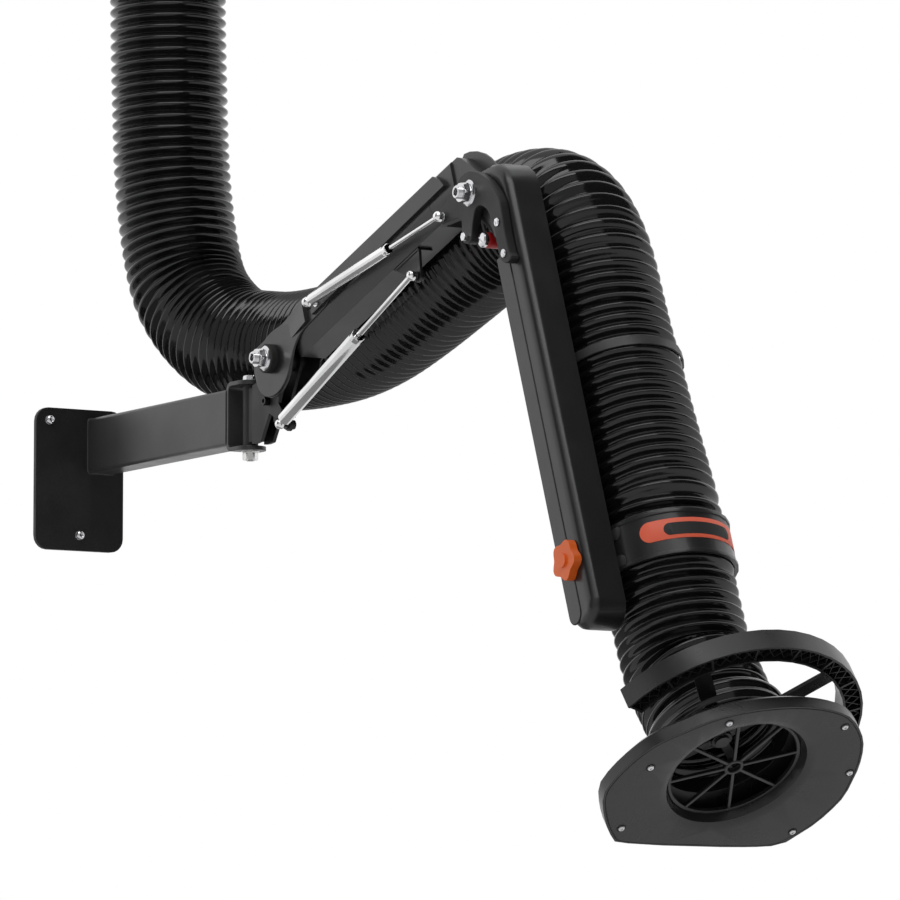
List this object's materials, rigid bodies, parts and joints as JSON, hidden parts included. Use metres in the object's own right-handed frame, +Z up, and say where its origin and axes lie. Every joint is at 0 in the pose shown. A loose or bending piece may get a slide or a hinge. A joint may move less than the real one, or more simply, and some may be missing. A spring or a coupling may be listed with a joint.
{
  "type": "fume extraction arm",
  "caption": "Wall-mounted fume extraction arm: swivel bracket, two spring-balanced arms, ribbed hose and a tilting D-shaped hood with a handle ring.",
  "frame": {"origin": "on the wall, at the back of the wall plate, where the centre line of the bracket tube meets it", "axes": "+X straight out from the wall, +Y along the wall, +Z up"},
  "size_m": [1.6284, 0.409, 1.4108],
  "materials": {
    "black_paint": "satin black powder coat",
    "grey_paint": "semi-gloss dark grey paint",
    "chrome": "polished",
    "zinc": "pale satin metal",
    "black_steel": "blackened steel",
    "hose_plastic": "semi-gloss ribbed",
    "hood_plastic": "fine satin moulding",
    "knob_plastic": "orange moulding",
    "red_rubber": "red buffer",
    "friction_pad": "dull friction lining"
  },
  "bodies": {
    "bracket": {"wall_plate": "black_paint", "wall_bolt_1": "chrome", "wall_bolt_2": "chrome", "wall_bolt_3": "chrome", "bracket_tube": "grey_paint", "end_fork": "grey_paint", "swivel_bolt": "chrome", "swivel_nut": "zinc", "swivel_bush": "zinc", "duct_collar": "black_paint", "hose_riser": "hose_plastic", "hose_swivel_bend": "hose_plastic"},
    "swivel": {"swivel_bracket": "black_paint", "stop_bolt": "black_steel", "lift_stud": "black_steel", "hose_shoulder_bend": "hose_plastic"},
    "inner_arm": {"inner_arm": "black_paint", "inner_arm_cover": "black_paint", "shoulder_bolt": "chrome", "shoulder_nut": "chrome", "friction_washer": "friction_pad", "spring_bracket": "black_paint", "lift_anchor": "black_steel", "elbow_spring_stud": "chrome", "hose_hanger": "hose_plastic", "hose_inner": "hose_plastic", "hose_elbow_bend": "hose_plastic"},
    "lift_cylinder": {"lift_cylinder": "zinc"},
    "lift_rod": {"lift_rod": "chrome"},
    "elbow_cylinder": {"elbow_cylinder": "zinc"},
    "elbow_rod": {"elbow_rod": "chrome"},
    "outer_arm": {"outer_arm": "black_paint", "outer_arm_cover": "black_paint", "elbow_cheek": "grey_paint", "elbow_lever": "black_paint", "lever_screw_1": "chrome", "lever_screw_2": "chrome", "lever_bolt": "chrome", "stop_cap": "red_rubber", "stop_screw": "chrome", "elbow_bolt": "chrome", "elbow_nut": "chrome", "lever_stud": "chrome", "hose_collar": "black_paint", "hose_strap": "hose_plastic", "hose_outer": "hose_plastic", "hose_tail": "hose_plastic", "tilt_bracket": "black_paint"},
    "knob": {"knob": "knob_plastic"},
    "hood_neck": {"tilt_link": "black_paint"},
    "hood": {"hood_shell": "hood_plastic", "face_plate": "hood_plastic", "grille": "hood_plastic", "handle_ring": "hood_plastic", "face_screw_1": "chrome", "face_screw_2": "chrome", "face_screw_3": "chrome", "face_screw_4": "chrome", "face_screw_5": "chrome", "face_screw_6": "chrome"}
  },
  "joints": [
    {"name": "swivel", "type": "hinge", "parent": "bracket", "child": "swivel", "pos_m": [0.459, 0, 0], "axis": [0, 0, 1], "range_deg": [-90, 90], "deforming": ["hose_swivel_bend"]},
    {"name": "shoulder", "type": "hinge", "parent": "swivel", "child": "inner_arm", "pos_m": [0.565, 0, 0.0676], "axis": [0, -1, 0], "range_deg": [-25, 25], "deforming": ["hose_shoulder_bend"]},
    {"name": "elbow", "type": "hinge", "parent": "inner_arm", "child": "outer_arm", "pos_m": [1.116, 0, 0.226], "axis": [0, -1, 0], "range_deg": [-20, 40], "deforming": ["hose_elbow_bend"]},
    {"name": "hood_tilt", "type": "hinge", "parent": "outer_arm", "child": "hood_neck", "pos_m": [1.39072, 0.118, -0.39601], "axis": [0, -1, 0], "range_deg": [-45, 45], "deforming": ["hose_tail"]},
    {"name": "hood_spin", "type": "hinge", "parent": "hood_neck", "child": "hood", "pos_m": [1.504, 0.118, -0.541], "axis": [0.6157, 0, -0.788], "range_deg": [-180, 180]},
    {"name": "knob_turn", "type": "hinge", "parent": "outer_arm", "child": "knob", "pos_m": [1.34542, -0.03, -0.27453], "axis": [0, -1, 0], "continuous": true},
    {"name": "lift_cylinder_swing", "type": "hinge", "parent": "swivel", "child": "lift_cylinder", "pos_m": [0.579, -0.02, -0.024], "axis": [0, -1, 0], "range_deg": [-24.5, 24.5]},
    {"name": "lift_rod_slide", "type": "slide", "parent": "lift_cylinder", "child": "lift_rod", "axis": [0.9096, 0, 0.4155], "range_m": [-0.04, 0.04]},
    {"name": "elbow_cylinder_swing", "type": "hinge", "parent": "inner_arm", "child": "elbow_cylinder", "pos_m": [0.698, -0.045, 0.13], "axis": [0, -1, 0], "range_deg": [-7.5, 4]},
    {"name": "elbow_rod_swing", "type": "hinge", "parent": "outer_arm", "child": "elbow_rod", "pos_m": [1.05, -0.045, 0.203], "axis": [0, -1, 0], "range_deg": [-47.5, 24]}
  ],
  "couplings": [
    {"joint": "lift_cylinder_swing", "follows": "shoulder", "ratio": 0.941},
    {"joint": "lift_rod_slide", "follows": "shoulder", "m_per_rad": 0.08706},
    {"joint": "elbow_cylinder_swing", "follows": "elbow", "ratio": -0.1722},
    {"joint": "elbow_rod_swing", "follows": "elbow", "ratio": -1.1722}
  ]
}
